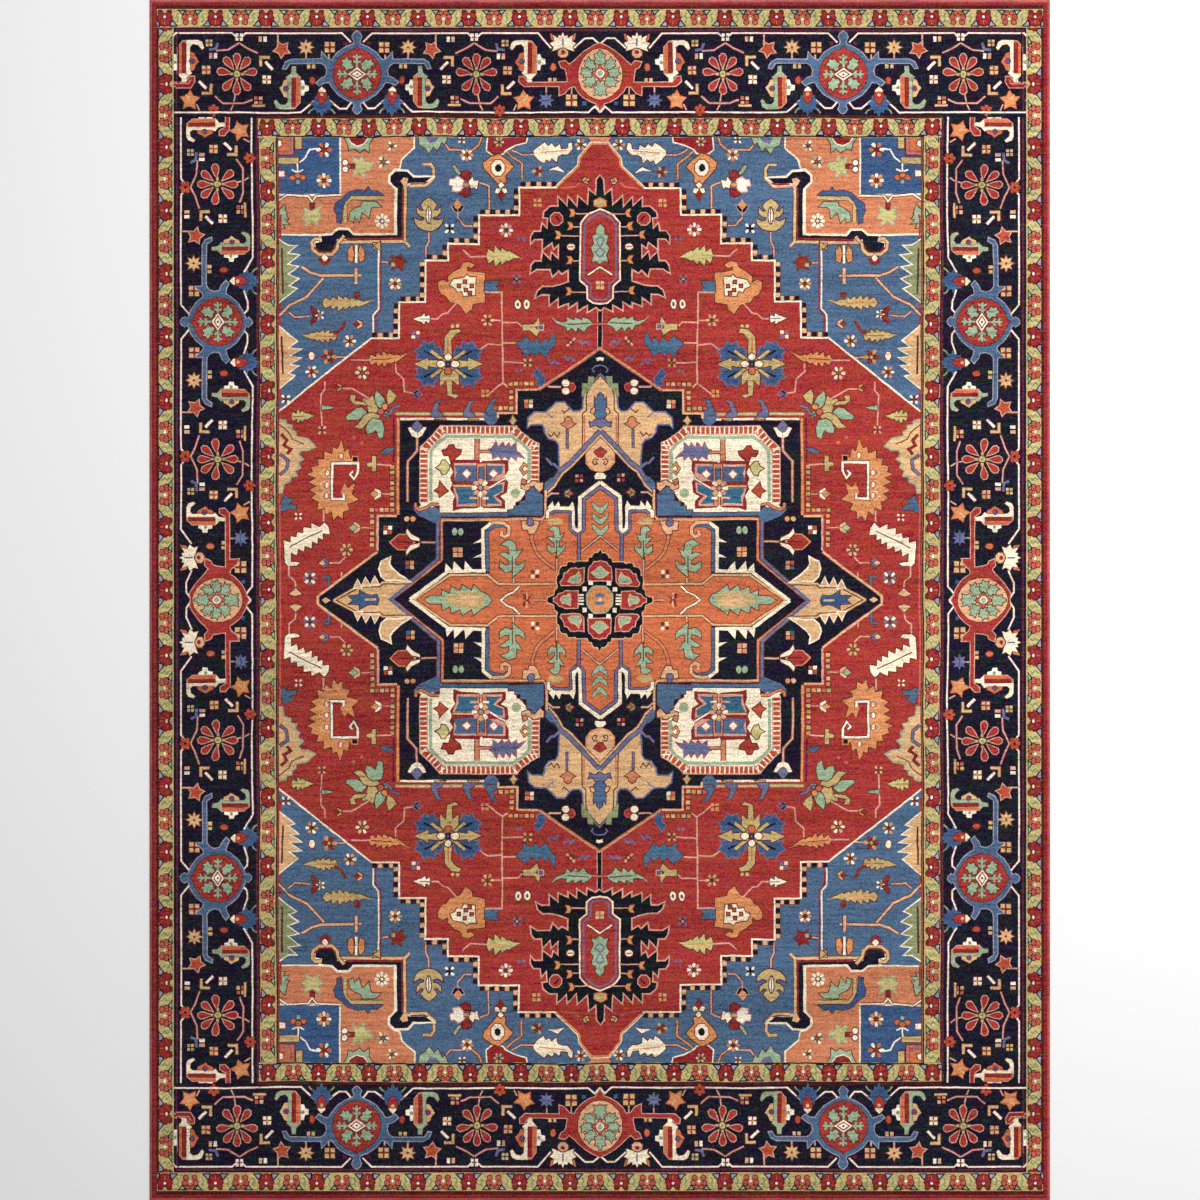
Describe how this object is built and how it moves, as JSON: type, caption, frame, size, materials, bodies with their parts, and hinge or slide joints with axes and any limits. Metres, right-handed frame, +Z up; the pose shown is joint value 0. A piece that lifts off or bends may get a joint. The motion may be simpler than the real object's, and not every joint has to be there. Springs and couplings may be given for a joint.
{
  "type": "area rug",
  "caption": "Hand-knotted room-size rug with a star medallion, stepped corner pieces, a main border between guard borders, and corded, overcast edges.",
  "frame": {"origin": "middle of the rug, on the face that lies on the floor", "axes": "+X across the rug's width, +Y along its length towards the top end, +Z up from the floor through the pile"},
  "size_m": [2.743, 3.658, 0.011],
  "materials": {
    "ground_cotton": "woven cotton",
    "cord_cotton": "twisted cotton",
    "overcasting_wool": "wound wool yarn",
    "web_cotton": "flat-woven cotton",
    "stitch_thread": "cotton thread",
    "band_wool": "sheared wool pile",
    "guard_wool": "sheared wool pile",
    "main_border_wool": "sheared wool pile",
    "field_wool": "sheared wool pile",
    "medallion_wool": "sheared wool pile",
    "corners_wool": "sheared wool pile"
  },
  "bodies": {
    "root": {"ground_weave": "ground_cotton", "left_edge_cords": "cord_cotton", "right_edge_cords": "cord_cotton", "top_edge_cords": "cord_cotton", "bottom_edge_cords": "cord_cotton", "left_overcasting": "overcasting_wool", "right_overcasting": "overcasting_wool", "top_overcasting": "overcasting_wool", "bottom_overcasting": "overcasting_wool", "top_end_web": "web_cotton", "bottom_end_web": "web_cotton", "top_web_stitches": "stitch_thread", "bottom_web_stitches": "stitch_thread", "top_band_pile": "band_wool", "bottom_band_pile": "band_wool", "left_band_pile": "band_wool", "right_band_pile": "band_wool", "top_outer_guard_pile": "guard_wool", "bottom_outer_guard_pile": "guard_wool", "left_outer_guard_pile": "guard_wool", "right_outer_guard_pile": "guard_wool", "top_main_border_pile": "main_border_wool", "bottom_main_border_pile": "main_border_wool", "left_main_border_pile": "main_border_wool", "right_main_border_pile": "main_border_wool", "top_inner_guard_pile": "guard_wool", "bottom_inner_guard_pile": "guard_wool", "left_inner_guard_pile": "guard_wool", "right_inner_guard_pile": "guard_wool", "field_pile": "field_wool", "medallion_pile": "medallion_wool", "top_corners_pile": "corners_wool", "bottom_corners_pile": "corners_wool"}
  },
  "joints": []
}
